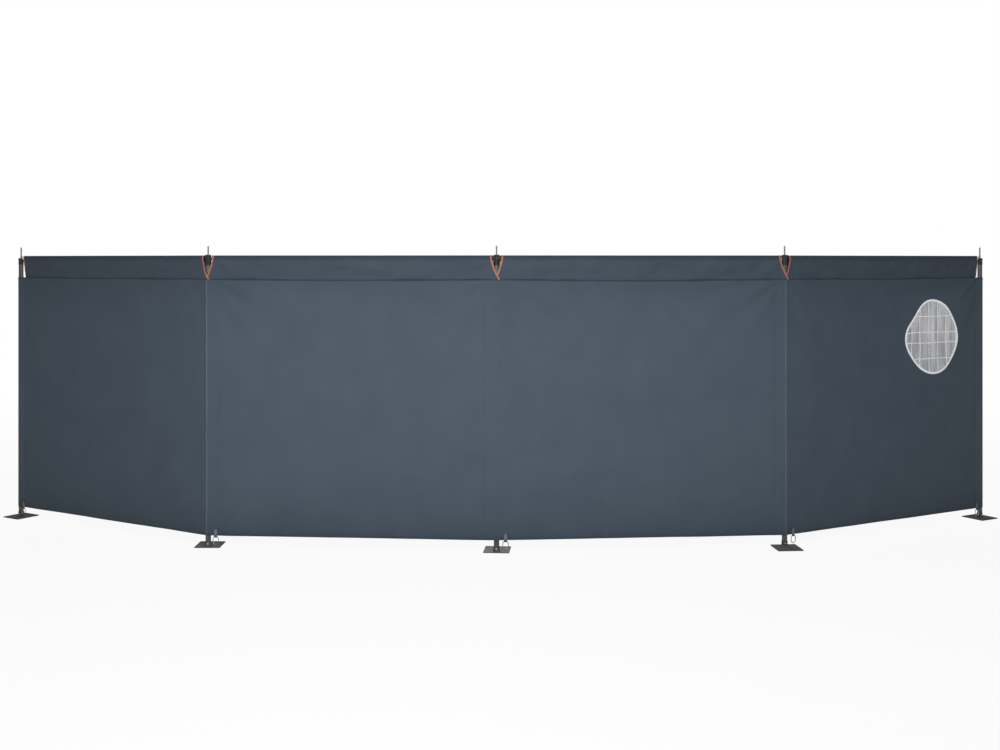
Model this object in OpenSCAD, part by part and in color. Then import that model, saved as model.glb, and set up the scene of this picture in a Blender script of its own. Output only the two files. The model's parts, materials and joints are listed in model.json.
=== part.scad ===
// Beach windbreak: four cloth bays on five poles, with a top rail in the pocket of each bay.
// Neighbouring rails stack their end eyes on the pin of the pole that they share, so each bay
// folds about that pole. The origin is on the ground under the middle pole, X runs along the
// front from left to right, Y points away from the front and Z points up. Sizes are in mm.

/* [Layout] */
// Distance between the axes of neighbouring poles
bay_w = 1450; // [1000:10:2000]
// Angle by which the left end bay is set back from the front line
left_end_angle = 32.6; // [0:0.1:60]
// Angle by which the left inner bay is set back from the front line
left_inner_angle = 4.6; // [0:0.1:25]
// Angle by which the right inner bay is set back from the front line
right_inner_angle = 4.9; // [0:0.1:25]
// Angle by which the right end bay is set back from the front line
right_end_angle = 30.6; // [0:0.1:60]

/* [Cloth] */
// Height of the cloth from its hem to the top of the rail pocket
cloth_h = 1400; // [1000:10:1800]
// Height of the hem above the ground
hem_gap = 60; // [55:1:150]
// Thickness of one layer of cloth
cloth_t = 1.6; // [1:0.1:2.4]
// Height of the doubled hem
hem_h = 30; // [15:1:60]
// Height of the rail pocket along the top
pocket_h = 120; // [90:1:180]
// Width of the notch over an inner pole, at the top of the cloth
notch_w = 60; // [60:1:120]
// Distance from an end pole's axis to the end of the pocket, at the top
end_slot_top = 38; // [20:1:80]
// Distance from an end pole's axis to the end of the pocket, at the stitch line
end_slot_bottom = 54; // [20:1:80]
// Furthest that neighbouring bays fold from one straight line, either way
fold_max = 85; // [30:1:88]
// Space between the cloth of neighbouring bays at the furthest fold
fold_gap = 6; // [5:0.5:12]

/* [Poles] */
// Outside diameter of the pole tube
pole_d = 27; // [20:0.5:32]
// Wall of the pole tube
pole_wall = 1.2; // [0.8:0.1:2]
// Height of the cap's rim on top of the tube
cap_h = 20; // [10:1:40]
// How far the cap's rim stands out past the tube
cap_rim = 1; // [0.5:0.1:3]
// Length of the cap's plug inside the tube
cap_plug = 30; // [20:1:60]
// Bevel round the top of the cap
cap_bevel = 1.5; // [0.5:0.1:4]
// Diameter of the pin where the rail eyes turn on it
shank_d = 10; // [9:0.1:12]
// Diameter of the pin's free end, for a guy line's eyelet
pin_d = 8; // [4:0.1:8.5]
// Length of the pin's free end
pin_free = 44; // [20:1:80]
// Bevel round the tip of the pin
pin_bevel = 1; // [0.5:0.1:1.8]
// Depth of the pin's root in the cap
pin_root = 34; // [20:1:40]

/* [Rails] */
// Outside diameter of the rail tube
rail_d = 22; // [18:0.5:30]
// Wall of the rail tube
rail_wall = 1.2; // [0.8:0.1:2]
// Outside diameter of a rail end's eye
eye_d = 30; // [20:0.5:34]
// Height of a rail end's eye
eye_h = 16; // [12:0.5:24]
// Length of the neck between the eye and the flange
neck_len = 5; // [3:0.5:15]
// Width of the neck
neck_w = 16; // [10:0.5:18]
// Thickness of the flange against the rail's end
flange_t = 4; // [2:0.5:8]
// Length of the rail end's plug inside the rail
rail_plug = 35; // [20:1:80]

/* [Feet] */
// Width of a foot plate
plate_w = 128; // [90:1:220]
// Depth of a foot plate
plate_d = 142; // [90:1:220]
// Thickness of a foot plate
plate_t = 4; // [2:0.5:8]
// Radius of the foot plate's corners
plate_corner = 4; // [1:0.5:20]
// Distance from the front edge of an inner pole's foot plate back to the pole's axis
pole_setback = 31; // [25:1:65]
// Height of the socket above the foot plate
socket_h = 24; // [15:1:40]
// Wall of the socket
socket_wall = 1.8; // [1.5:0.1:5]
// Leg of the weld between the socket and the foot plate
weld_leg = 3; // [1:0.5:5]

/* [Peg loops] */
// Distance from a pole's axis along the hem to its peg loop
loop_offset = 43; // [38:1:200]
// Width of the webbing
webbing_w = 15; // [8:0.5:25]
// Thickness of one layer of webbing
webbing_t = 1.4; // [1:0.1:2.5]
// Height of the sewn webbing above the hem
webbing_rise = 32; // [20:1:80]
// Distance from the hem down to the ring's top bar
ring_drop = 6.5; // [6:0.5:10]
// Diameter of the ring's wire
wire_d = 3; // [2:0.1:4]
// Bend radius of the ring's two upper corners
ring_bend = 4.5; // [3:0.1:8]
// Radius of the ring's bow
ring_bow = 14.5; // [12:0.1:16]
// Outside height of the ring
ring_h = 40; // [36:1:50]

/* [Window] */
// Distance from the right end pole's axis back to the middle of the window
window_inset = 397; // [260:1:750]
// Distance from the top of the cloth down to the middle of the window
window_drop = 441; // [350:1:700]
// Mean radius of the window
window_r = 192; // [100:1:220]
// How far the window's outline is drawn out along its long axis
window_oval = 2; // [0:0.1:15]
// Direction of the window's long axis
window_oval_turn = 60; // [0:1:180]
// How far the window's outline is drawn out at its three soft corners
window_corner = 5; // [0:0.1:10]
// Direction of the first soft corner
window_corner_turn = -50; // [-60:1:60]
// How far the window's outline is drawn out at its top, its bottom and its two sides
window_square = 6.5; // [0:0.1:10]
// Direction of the first of these four
window_square_turn = 3; // [-45:1:45]
// Width of the binding sewn round the window
binding_w = 12; // [6:0.5:20]
// Thickness of the binding
binding_t = 1; // [0.5:0.1:2]
// Thickness of the window's clear pane
pane_t = 0.8; // [0.5:0.1:2]
// How far the pane reaches behind the cloth all round
pane_lap = 10; // [5:0.5:20]

/* [Hidden] */
// Running gap between pieces that sit round or beside each other
fit_gap = 0.3;
// Gap all round a pin in its hole and a plug in its tube
pin_gap = 0.1;
// Corner angle of the facets that bend the cloth over the rail
arc_step = 12;
// Corner angle of the facets round the window
window_step = 6;
// Corner angle of the facets along the bends of the ring's wire
wire_step = 18;
// Turns round the wire at which its facets have their corners
wire_turns = [0, 45, 90, 135, 180, 225, 270, 315];
half_turn = 180;
// Overshoot of a cutting shape past the faces that it cuts
cut_over = 1;

cloth_colour = "#4a5660";
sleeve_colour = "#434f58";
steel_colour = "#66686b";
pin_colour = "#a9abae";
rail_colour = "#d2d5d8";
plastic_colour = "#1b1c1e";
plate_colour = "#4c4e52";
webbing_colour = "#b9bcc4";
ring_colour = "#a2a294";
binding_colour = "#eceeef";
pane_colour = "#cfdde4";

poles = [1, 2, 3, 4, 5];
bays = [1, 2, 3, 4];
first_bay = bays[0];
last_bay = bays[3];
middle_pole = poles[2];
window_bay = last_bay;
// A bay carries its own poles: the near pole of the first two bays and the far pole of the last three
near_pole_is_own = [true, true, false, false];
far_pole_is_own = [false, true, true, true];
// The bay that each peg loop is sewn to, and whether it sits at that bay's far pole
loop_bay = [1, 2, 3, 4, 4];
loop_at_far_pole = [false, false, false, false, true];

// Turn of each bay from the X axis, and of each foot plate, one of which is put down back to front
bay_turn = [-left_end_angle, -left_inner_angle, right_inner_angle, right_end_angle];
foot_turn = [bay_turn[0], 0, bay_turn[1], half_turn + bay_turn[2], bay_turn[3]];
// How far the middle of each foot plate lies behind its pole: the end poles stand in the middle
inner_plate_y = plate_d / 2 - pole_setback;
plate_y = [0, inner_plate_y, inner_plate_y, inner_plate_y, 0];

cloth_top = hem_gap + cloth_h;
stitch_z = cloth_top - pocket_h;
sleeve_bore = pole_d / 2 + fit_gap;
sleeve_r = sleeve_bore + cloth_t;
hem_t = 2 * cloth_t;
cloth_back = cloth_t - sleeve_r;
pocket_bore = rail_d / 2 + fit_gap;
pocket_r = pocket_bore + cloth_t;
rail_z = cloth_top - pocket_r;
// Height over the stitch line at which the two layers of the pocket part
pocket_tip = 4 * cloth_t;
// Where the cloth ends beside its own pole's sleeve, and beside the pole of a neighbouring bay
seam_inset = sqrt(pow(sleeve_r + 2 * fit_gap, 2) - pow(sleeve_r - hem_t, 2));
fold_inset = (fold_gap + sleeve_r * (1 - cos(fold_max))) / sin(fold_max);
// Radius of the arc that shapes each side of a notch, upright at the top of the cloth
notch_half = notch_w / 2;
notch_r = (pow(notch_half, 2) + pow(pocket_h, 2)) / notch_w;

cap_top = rail_z - eye_h;
pole_top = cap_top - cap_h;
cap_d = pole_d + 2 * cap_rim;
plug_d = pole_d - 2 * pole_wall - 2 * pin_gap;
shank_hole = shank_d + 2 * pin_gap;
shank_top = rail_z + eye_h;
flange_x = eye_d / 2 + neck_len;
rail_end_x = flange_x + flange_t;
neck_h = min(eye_h, rail_d / 2);
rail_plug_d = rail_d - 2 * rail_wall - 2 * pin_gap;
socket_bore = pole_d + 2 * pin_gap;
socket_d = socket_bore + 2 * socket_wall;

webbing_layers = 2 * webbing_t;
ring_y = -sleeve_r - webbing_t;
ring_z = hem_gap - ring_drop;
loop_bore = wire_d / 2 + fit_gap;
loop_r = loop_bore + webbing_t;
// Middles of the ring's bends, from the middle of its top bar, and the turn of its tangent legs
bar_half = webbing_w / 2 + fit_gap;
bow_down = ring_h - wire_d - ring_bow;
bend_to_bow = [bar_half, bow_down - ring_bend];
leg_turn = atan2(bend_to_bow[1], bend_to_bow[0])
    - acos((ring_bow - ring_bend) / norm(bend_to_bow));
window_x = bay_w - window_inset;
window_z = cloth_top - window_drop;

$fn = 64;

// The step from one pole to the next along bay k, and the place of pole i
function bay_step(k) = bay_w * [cos(bay_turn[k - 1]), sin(bay_turn[k - 1]), 0];
function pole_place(i) =
    i < middle_pole ? pole_place(i + 1) - bay_step(i) :
    i > middle_pole ? pole_place(i - 1) + bay_step(i - 1) :
    [0, 0, 0];

function near_inset(k) = near_pole_is_own[k - 1] ? seam_inset : fold_inset;
function far_inset(k) = far_pole_is_own[k - 1] ? seam_inset : fold_inset;

// Turn from the pocket's middle to the point where a line from tip meets a circle of radius r
function tangent_turn(tip, r, side) =
    atan2(tip[1] - rail_z, tip[0]) + side * acos(r / norm([tip[0], tip[1] - rail_z]));

// Points over the rail at radius r, from the turn on the front to the turn on the back
function over_rail(r, front, back) =
    let (turns = ceil((front - back) / arc_step))
    [for (j = [0:turns])
        let (a = front + (back - front) * j / turns)
        [r * cos(a), rail_z + r * sin(a)]];

// Outline of the window, moved outwards by grow
function window_outline(grow) =
    [for (a = [0:window_step:360 - window_step])
        (window_r + grow
            + window_oval * cos(2 * (a - window_oval_turn))
            + window_corner * cos(3 * (a - window_corner_turn))
            + window_square * cos(4 * (a - window_square_turn)))
        * [cos(a), sin(a)]];

// Puts a shape in the frame of bay k: X from its left pole to its right pole, Y to the back
module at_bay(k) {
    translate(pole_place(k)) rotate(bay_turn[k - 1]) children();
}

// Puts a shape at the far pole of a bay, turned to face back along it
module at_far_end() {
    translate([bay_w, 0, 0]) mirror([1, 0, 0]) children();
}

// A tube with an upright axis
module tube(outside, inside, from, to) {
    translate([0, 0, from]) difference() {
        cylinder(d = outside, h = to - from);
        translate([0, 0, -cut_over]) cylinder(d = inside, h = to - from + 2 * cut_over);
    }
}

module pole(i) {
    color(steel_colour) translate(pole_place(i))
        tube(pole_d, pole_d - 2 * pole_wall, plate_t, pole_top);
}

// The pin in a pole's cap: a shank for the rail eyes and a thinner free end
module pole_pin(i) {
    color(pin_colour) translate(pole_place(i)) {
        translate([0, 0, cap_top - pin_root]) cylinder(d = shank_d, h = shank_top - cap_top + pin_root);
        translate([0, 0, shank_top]) cylinder(d = pin_d, h = pin_free - pin_bevel);
        translate([0, 0, shank_top + pin_free - pin_bevel])
            cylinder(d1 = pin_d, d2 = pin_d - 2 * pin_bevel, h = pin_bevel);
    }
}

module pole_cap(i) {
    color(plastic_colour) translate(pole_place(i)) difference() {
        union() {
            translate([0, 0, pole_top - cap_plug]) cylinder(d = plug_d, h = cap_plug + cap_bevel);
            translate([0, 0, pole_top]) cylinder(d = cap_d, h = cap_h - cap_bevel);
            translate([0, 0, cap_top - cap_bevel])
                cylinder(d1 = cap_d, d2 = cap_d - 2 * cap_bevel, h = cap_bevel);
        }
        translate([0, 0, cap_top - pin_root]) cylinder(d = shank_hole, h = pin_root + cut_over);
    }
}

module foot_plate(i) {
    color(plate_colour) translate(pole_place(i)) rotate(foot_turn[i - 1]) {
        difference() {
            union() {
                translate([0, plate_y[i - 1], 0]) plate();
                translate([0, 0, plate_t]) cylinder(d = socket_d, h = socket_h);
                translate([0, 0, plate_t])
                    cylinder(d1 = socket_d + 2 * weld_leg, d2 = socket_d, h = weld_leg);
            }
            translate([0, 0, plate_t]) cylinder(d = socket_bore, h = socket_h + cut_over);
        }
    }
}

// A flat plate with round corners, about its own middle
module plate() {
    corner_x = plate_w / 2 - plate_corner;
    corner_y = plate_d / 2 - plate_corner;
    translate([-plate_w / 2, -corner_y, 0]) cube([plate_w, 2 * corner_y, plate_t]);
    translate([-corner_x, -plate_d / 2, 0]) cube([2 * corner_x, plate_d, plate_t]);
    for (x = [-corner_x, corner_x], y = [-corner_y, corner_y])
        translate([x, y, 0]) cylinder(r = plate_corner, h = plate_t);
}

module pole_sleeve(i) {
    color(sleeve_colour) translate(pole_place(i)) tube(2 * sleeve_r, 2 * sleeve_bore, hem_gap, stitch_z);
}

module top_rail(k) {
    color(rail_colour) at_bay(k) translate([0, 0, rail_z]) rotate([0, 90, 0])
        tube(rail_d, rail_d - 2 * rail_wall, rail_end_x, bay_w - rail_end_x);
}

// A bay's right eye lies on top of its neighbour's left eye. The last bay has no neighbour there,
// so its right eye lies low
module rail_ends(k) {
    color(plastic_colour) at_bay(k) translate([0, 0, rail_z]) {
        rail_end(-1);
        at_far_end() rail_end(k == last_bay ? -1 : 1);
    }
}

// One rail end on its pole's axis, with its eye above or below the middle of the rail
module rail_end(side) {
    difference() {
        union() {
            on_side(side) translate([0, 0, fit_gap / 2]) cylinder(d = eye_d, h = eye_h - fit_gap);
            on_side(side) translate([0, -neck_w / 2, fit_gap / 2])
                cube([flange_x + flange_t / 2, neck_w, neck_h - fit_gap]);
            translate([flange_x, 0, 0]) rotate([0, 90, 0]) cylinder(d = rail_d, h = flange_t);
            translate([flange_x, 0, 0]) rotate([0, 90, 0])
                cylinder(d = rail_plug_d, h = flange_t + rail_plug);
        }
        translate([0, 0, -eye_h]) cylinder(d = shank_hole, h = 2 * eye_h);
    }
}

// Keeps a shape above the middle of the rail, or mirrors it below
module on_side(side) {
    mirror([0, 0, side < 0 ? 1 : 0]) children();
}

module panel(k) {
    color(cloth_colour) at_bay(k) difference() {
        translate([near_inset(k), 0, 0]) rotate([90, 0, 90])
            linear_extrude(bay_w - near_inset(k) - far_inset(k)) panel_profile();
        pocket_end(k == first_bay);
        at_far_end() pocket_end(k == last_bay);
        if (k == window_bay)
            on_window() linear_extrude(2 * sleeve_r) polygon(window_outline(0));
    }
}

// Section of a bay's cloth, across the bay: doubled hem, flat sheet and the pocket round the rail
module panel_profile() {
    front_foot = [-sleeve_r, stitch_z];
    back_foot = [cloth_back, stitch_z];
    inner_foot = [cloth_back, stitch_z + pocket_tip];
    difference() {
        polygon(concat(
            [[-sleeve_r, hem_gap]],
            [front_foot],
            over_rail(pocket_r, tangent_turn(front_foot, pocket_r, -1) + 360,
                tangent_turn(back_foot, pocket_r, 1)),
            [back_foot],
            [[cloth_back, hem_gap + hem_h]],
            [[hem_t - sleeve_r, hem_gap + hem_h]],
            [[hem_t - sleeve_r, hem_gap]]
        ));
        polygon(concat(
            [inner_foot],
            over_rail(pocket_bore / cos(arc_step / 2), tangent_turn(inner_foot, pocket_bore, -1) + 360,
                tangent_turn(inner_foot, pocket_bore, 1))
        ));
    }
}

// What is cut from the cloth at a pole: room for the sleeve, and a slot at an end pole or half a notch
// at an inner one
module pocket_end(at_end_pole) {
    cylinder(r = sleeve_r + fit_gap, h = cloth_top + cut_over);
    translate([0, 2 * sleeve_r, 0]) rotate([90, 0, 0]) linear_extrude(4 * sleeve_r)
        if (at_end_pole)
            polygon([[0, stitch_z], [end_slot_bottom, stitch_z], [end_slot_top, cloth_top + cut_over],
                [0, cloth_top + cut_over]]);
        else
            translate([notch_half - notch_r, cloth_top]) circle(r = notch_r, $fn = 128);
}

// Puts a flat shape at the window, with its thickness from the front of the cloth to the back
module on_window() {
    translate([window_x, 0, window_z]) rotate([90, 0, 0]) children();
}

module window_pane() {
    color(pane_colour) at_bay(window_bay) translate([0, cloth_back + pane_t, 0])
        on_window() linear_extrude(pane_t) polygon(window_outline(pane_lap));
}

module window_binding() {
    color(binding_colour) at_bay(window_bay) translate([0, -sleeve_r, 0])
        on_window() linear_extrude(binding_t) difference() {
            polygon(window_outline(binding_w / 2));
            polygon(window_outline(-binding_w / 2));
        }
}

// Puts a shape at the top bar of the ring of peg loop i
module at_loop(i) {
    along = loop_at_far_pole[i - 1] ? bay_w - loop_offset : loop_offset;
    at_bay(loop_bay[i - 1]) translate([along, ring_y, ring_z]) children();
}

module peg_strap(i) {
    color(webbing_colour) at_loop(i) rotate([90, 0, 90]) translate([0, 0, -webbing_w / 2])
        linear_extrude(webbing_w) difference() {
            union() {
                translate([-webbing_t, 0]) square([webbing_layers, ring_drop + webbing_rise]);
                circle(r = loop_r);
            }
            circle(r = loop_bore);
        }
}

// A ring of bent wire round the webbing: a straight top bar, two bends, two legs and a round bow
module peg_ring(i) {
    bend = [bar_half, -ring_bend];
    bow = [0, -bow_down];
    color(ring_colour) at_loop(i) closed_wire(concat(
        wire_arc(bend, ring_bend, half_turn / 2, leg_turn),
        wire_arc(bow, ring_bow, leg_turn, -half_turn - leg_turn),
        wire_arc([-bend[0], bend[1]], ring_bend, half_turn - leg_turn, half_turn / 2)
    ));
}

// Rings of points round the wire, where it bends about a middle point from one turn to another
function wire_arc(middle, radius, from, to) =
    let (steps = ceil(abs(to - from) / wire_step))
    [for (j = [0:steps])
        let (a = from + (to - from) * j / steps)
        [for (b = wire_turns)
            let (out = radius + wire_d / 2 * cos(b))
            [middle[0] + out * cos(a), wire_d / 2 * sin(b), middle[1] + out * sin(a)]]];

// The solid through rings of points that run once round a closed loop
module closed_wire(rings) {
    count = len(rings);
    sides = len(wire_turns);
    polyhedron(
        points = [for (ring = rings) each ring],
        faces = [for (r = [0:count - 1], s = [0:sides - 1])
            let (next_r = (r + 1) % count, next_s = (s + 1) % sides)
            [r * sides + s, r * sides + next_s, next_r * sides + next_s, next_r * sides + s]]
    );
}

for (i = poles) {
    pole(i);
    pole_cap(i);
    pole_pin(i);
    foot_plate(i);
    pole_sleeve(i);
    peg_strap(i);
    peg_ring(i);
}
for (k = bays) {
    top_rail(k);
    rail_ends(k);
    panel(k);
}
window_pane();
window_binding();
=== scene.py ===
# Looks of the beach windbreak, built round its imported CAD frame. Lengths are in metres.
# A bay has its own frame: x along the bay from its left pole, y to the back and z up.
import json
from math import acos, atan2, copysign, cos, exp, hypot, pi, radians, sin

import bmesh
import bpy
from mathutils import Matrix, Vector, noise

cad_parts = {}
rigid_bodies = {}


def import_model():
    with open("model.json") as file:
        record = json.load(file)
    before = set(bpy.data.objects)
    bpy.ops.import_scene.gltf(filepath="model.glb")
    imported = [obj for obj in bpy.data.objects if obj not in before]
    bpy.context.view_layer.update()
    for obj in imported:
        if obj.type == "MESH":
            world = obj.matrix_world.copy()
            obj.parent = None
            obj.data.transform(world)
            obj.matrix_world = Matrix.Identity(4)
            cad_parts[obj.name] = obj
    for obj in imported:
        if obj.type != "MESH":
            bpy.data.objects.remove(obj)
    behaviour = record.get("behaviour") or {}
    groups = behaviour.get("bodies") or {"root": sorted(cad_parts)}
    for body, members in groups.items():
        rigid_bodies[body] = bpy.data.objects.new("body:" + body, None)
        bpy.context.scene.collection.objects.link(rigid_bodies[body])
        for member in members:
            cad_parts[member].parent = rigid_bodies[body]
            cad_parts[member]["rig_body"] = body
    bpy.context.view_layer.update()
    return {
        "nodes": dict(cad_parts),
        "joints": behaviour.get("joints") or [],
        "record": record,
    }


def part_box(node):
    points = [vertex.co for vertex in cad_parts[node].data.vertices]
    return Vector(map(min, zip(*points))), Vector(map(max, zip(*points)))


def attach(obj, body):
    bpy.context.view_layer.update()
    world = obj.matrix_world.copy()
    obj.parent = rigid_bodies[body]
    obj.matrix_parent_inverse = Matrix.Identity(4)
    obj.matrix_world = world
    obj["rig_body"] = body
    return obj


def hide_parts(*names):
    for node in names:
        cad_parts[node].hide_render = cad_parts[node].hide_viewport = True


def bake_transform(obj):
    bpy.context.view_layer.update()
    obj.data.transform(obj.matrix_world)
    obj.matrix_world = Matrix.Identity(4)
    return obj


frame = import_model()
nodes = frame["nodes"]

# Places and sizes from the frame
mounts = {m["name"]: Vector(m["pos_m"]) for m in frame["record"]["mounts"]}
POLES = range(1, 6)
BAYS = range(1, 5)
INNER_POLES = (2, 3, 4)
WINDOW_BAY = 4
POLE = {i: mounts[f"foot_{i}"] for i in POLES}
BODY = {k: nodes[f"panel_{k}"]["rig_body"] for k in BAYS}
POLE_BODY = {i: nodes[f"pole_{i}"]["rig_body"] for i in POLES}
ALONG = {k: (POLE[k + 1] - POLE[k]).normalized() for k in BAYS}
BACK = {k: Vector((-ALONG[k].y, ALONG[k].x, 0)) for k in BAYS}
TURN = {k: atan2(ALONG[k].y, ALONG[k].x) for k in BAYS}
BAY_W = (POLE[2] - POLE[1]).length
UP = Vector((0, 0, 1))
sleeve_low, sleeve_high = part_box("pole_sleeve_3")
HEM, STITCH = sleeve_low.z, sleeve_high.z
FACE = (sleeve_high.x - sleeve_low.x) / 2
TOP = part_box("panel_2")[1].z
RAIL_Z = frame["joints"][0]["pos_m"][2]
POLE_R = (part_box("pole_3")[1].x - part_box("pole_3")[0].x) / 2

# Cloth
CLOTH_T = 0.0009
FRONT = CLOTH_T / 2 - FACE
COVER_R = -FRONT
POCKET_H = TOP - STITCH
POCKET_R = TOP - RAIL_Z - CLOTH_T / 2
# Distance between the middles of two layers that are sewn together
LAYER = 0.0016
HEM_TURN = 0.020
HEM_FOLD = 0.0008
SEAM_TURN = 0.012
# From an inner pole's axis to the end of a sheet, and from an end pole's axis to the sleeve's seam
EDGE = 0.020
SLEEVE_SEAM = 0.054
# Depth and half width of the dent along the pocket's seam
GROOVE = 0.0042
GROOVE_W = 0.0032
# How far each pocket's seam hangs in mid-bay, and how far down the sheet that is felt
SEAM_SAG = {1: 0.002, 2: 0.005, 3: 0.007, 4: 0.005}
SAG_REACH = 0.08
# Waves in a sheet: their depth, and how close they come along it and up it
WAVE = {"broad": (0.0046, 2.3, 1.6), "middle": (0.0034, 5.2, 3.4), "fine": (0.0021, 11, 8),
        "puckers": (0.0009, 38, 4), "pulls": (0.0026, 4, 22)}
# Folds from a sheet's upper corners: their depth, number and reach
DRAWN = 0.0052
DRAWN_RAYS = 13
DRAWN_REACH = 0.24
# How far puckers reach from the seam, and pulls from a pole
PUCKER_REACH = 0.035
PULL_REACH = 0.09
# Depth of the waves in a pocket
POCKET_WAVE = {"crown": 0.0006, "folds": 0.0085, "small": 0.0052, "drawn": 0.0052}
# The notch over an inner pole: half its width, the bend of its sides, and its tips' reach past the axis
NOTCH_HALF = 0.0285
NOTCH_CURVE = 1.55
NOTCH_PAST = {-1: 0.014, 1: 0.007}
BACK_EDGE = 0.018
# From an end pole's axis to the end of the pocket, at its top and at its seam
END_SLOT = {1: (0.036, 0.062), 4: (0.034, 0.052)}

# Window, as in the part's source
WINDOW = Vector((BAY_W - 0.397, 0, TOP - 0.441))
WINDOW_R = 0.192
# Waves in its outline: how many there are, their size and their place in degrees
WINDOW_WAVES = ((2, 0.002, 60), (3, 0.005, -50), (4, 0.0065, 3))
BINDING_W = 0.012
BINDING_T = 0.001
PANE_LAP = 0.010

# Peg loops, as in the part's source
LOOP_BAY = {1: 1, 2: 2, 3: 3, 4: 4, 5: 4}
LOOP_IN = 0.043
LOOP_X = {i: BAY_W - LOOP_IN if i == 5 else LOOP_IN for i in POLES}
WEBBING_W = 0.015
WEBBING_T = 0.0014
WEBBING_RISE = 0.032
RING_Y = -FACE - WEBBING_T
RING_Z = HEM - 0.0065
WIRE_R = 0.0018
RING_BEND = 0.0045
RING_BOW = 0.0145
RING_H = 0.040
BAR_HALF = WEBBING_W / 2 + 0.0003


# Helpers for meshes
class Shape:
    """The points and faces of one piece, gathered patch by patch"""

    def __init__(self):
        self.points = []
        self.faces = []
        self.uvs = []
        self.tones = []

    def add(self, points, uvs=None, tones=None):
        """Takes in some points. Returns the number of the first"""
        first = len(self.points)
        self.points += points
        self.uvs += uvs or [(0, 0)] * len(points)
        self.tones += tones or [1.0] * len(points)
        return first

    def grid(self, rows, uvs=None, tones=None, keep=lambda r, c: True):
        """A patch through rows of points, without the faces that keep refuses"""
        width = len(rows[0])
        first = self.add(joined(rows), joined(uvs or []), joined(tones or []))
        for r in range(len(rows) - 1):
            for c in range(width - 1):
                if keep(r, c):
                    at = first + r * width + c
                    self.faces.append((at, at + 1, at + width + 1, at + width))

    def loft(self, rings, loop=False, uvs=None, tones=None, open_start=False):
        """A skin through rings of points, closed at its ends unless it is a loop"""
        width = len(rings[0])
        count = len(rings)
        first = self.add(joined(rings), joined(uvs or []), joined(tones or []))
        for r in range(count if loop else count - 1):
            low = first + r * width
            high = first + (r + 1) % count * width
            for c in range(width):
                d = (c + 1) % width
                self.faces.append((low + c, low + d, high + d, high + c))
        if not loop:
            if not open_start:
                self.faces.append(tuple(range(first, first + width))[::-1])
            self.faces.append(tuple(range(first + (count - 1) * width, first + count * width)))

    def build(self, name, material, closed=True):
        """Makes the piece. The faces of a closed skin are turned outward"""
        mesh = bpy.data.meshes.new(name)
        mesh.from_pydata(self.points, [], self.faces)
        layer = mesh.uv_layers.new(name="UVMap")
        corners = [0] * len(mesh.loops)
        mesh.loops.foreach_get("vertex_index", corners)
        layer.data.foreach_set("uv", [x for v in corners for x in self.uvs[v]])
        mesh.attributes.new("tone", "FLOAT", "POINT").data.foreach_set("value", self.tones)
        mesh.shade_smooth()
        skin = bmesh.new()
        skin.from_mesh(mesh)
        if closed:
            bmesh.ops.recalc_face_normals(skin, faces=skin.faces)
        for edge in skin.edges:
            edge.smooth = not edge.is_boundary
        skin.to_mesh(mesh)
        skin.free()
        mesh.materials.append(material)
        return show(name, mesh)


def show(name, data):
    """A new object in the scene"""
    made = bpy.data.objects.new(name, data)
    bpy.context.scene.collection.objects.link(made)
    return made


def joined(rows):
    """All the points of some rows, in one list"""
    return [p for row in rows for p in row]


def spread(start, end, step):
    """Values from start to end, about step apart"""
    count = max(1, round(abs(end - start) / step))
    return [start + (end - start) * j / count for j in range(count + 1)]


def smooth(t):
    """An even start and stop from 0 to 1"""
    t = min(1.0, max(0.0, t))
    return t * t * (3 - 2 * t)


def turns(count):
    """Angles that divide a full turn"""
    return [2 * pi * c / count for c in range(count)]


def arc(x, y, radius, start, end, step):
    """Points about (x, y) from one turn to another"""
    return [(x + radius * cos(a), y + radius * sin(a)) for a in spread(start, end, step)]


def in_bay(k, x, y, z):
    """The place of a point in the frame of bay k"""
    return POLE[k] + ALONG[k] * x + BACK[k] * y + UP * z


def from_end(side, x):
    """Place along a bay at a distance x from its left end, 1, or its right end, -1"""
    return x if side > 0 else BAY_W - x


def thicken(piece, thickness):
    """Gives a sheet its thickness, half to each side"""
    solid = piece.modifiers.new("thickness", "SOLIDIFY")
    solid.thickness = thickness
    solid.offset = 0
    return piece


def stand_for(piece, body, node):
    """Rides a piece on a body in place of a CAD node, which it hides"""
    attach(piece, body)
    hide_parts(node)
    return piece


def tape(shape, path, width, thickness, sides=10, loop=False):
    """Sweeps a flat tape with rounded edges along a path of (point, normal) pairs"""
    count = len(path)
    rings = []
    for j, (point, normal) in enumerate(path):
        before = path[j - 1][0] if j or loop else point
        after = path[(j + 1) % count][0] if j + 1 < count or loop else point
        side = (after - before).cross(normal).normalized()
        rings.append([point + side * (width / 2 * cos(a)) + normal * (thickness / 2 * sin(a))
                      for a in turns(sides)])
    shape.loft(rings, loop)


def lathe(shape, base, axis, profile, sides=24):
    """Turns a profile of (radius, height) pairs about an axis"""
    across = axis.orthogonal().normalized()
    other = axis.cross(across)
    rings = []
    for radius, height in profile:
        rings.append([base + axis * height + (across * cos(a) + other * sin(a)) * radius
                      for a in turns(sides)])
    shape.loft(rings)


# Helpers for materials
def shader(name):
    """A new material, its node tree and its surface shader"""
    made = bpy.data.materials.new(name)
    made.use_nodes = True
    return made, made.node_tree, made.node_tree.nodes["Principled BSDF"]


def put(tree, kind, settings=None, *values, **inputs):
    """Adds a node with its settings and inputs"""
    made = tree.nodes.new("ShaderNode" + kind)
    for name, value in (settings or {}).items():
        setattr(made, name, value)
    feed(tree, made, *values, **inputs)
    return made


def feed(tree, node, *values, **inputs):
    """Sets a node's inputs, in order or by name, or joins them to other nodes' sockets"""
    pairs = list(zip(node.inputs, values))
    pairs += [(node.inputs[name.replace("_", " ")], value) for name, value in inputs.items()]
    for socket, value in pairs:
        if isinstance(value, bpy.types.NodeSocket):
            tree.links.new(value, socket)
        else:
            socket.default_value = value


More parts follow.
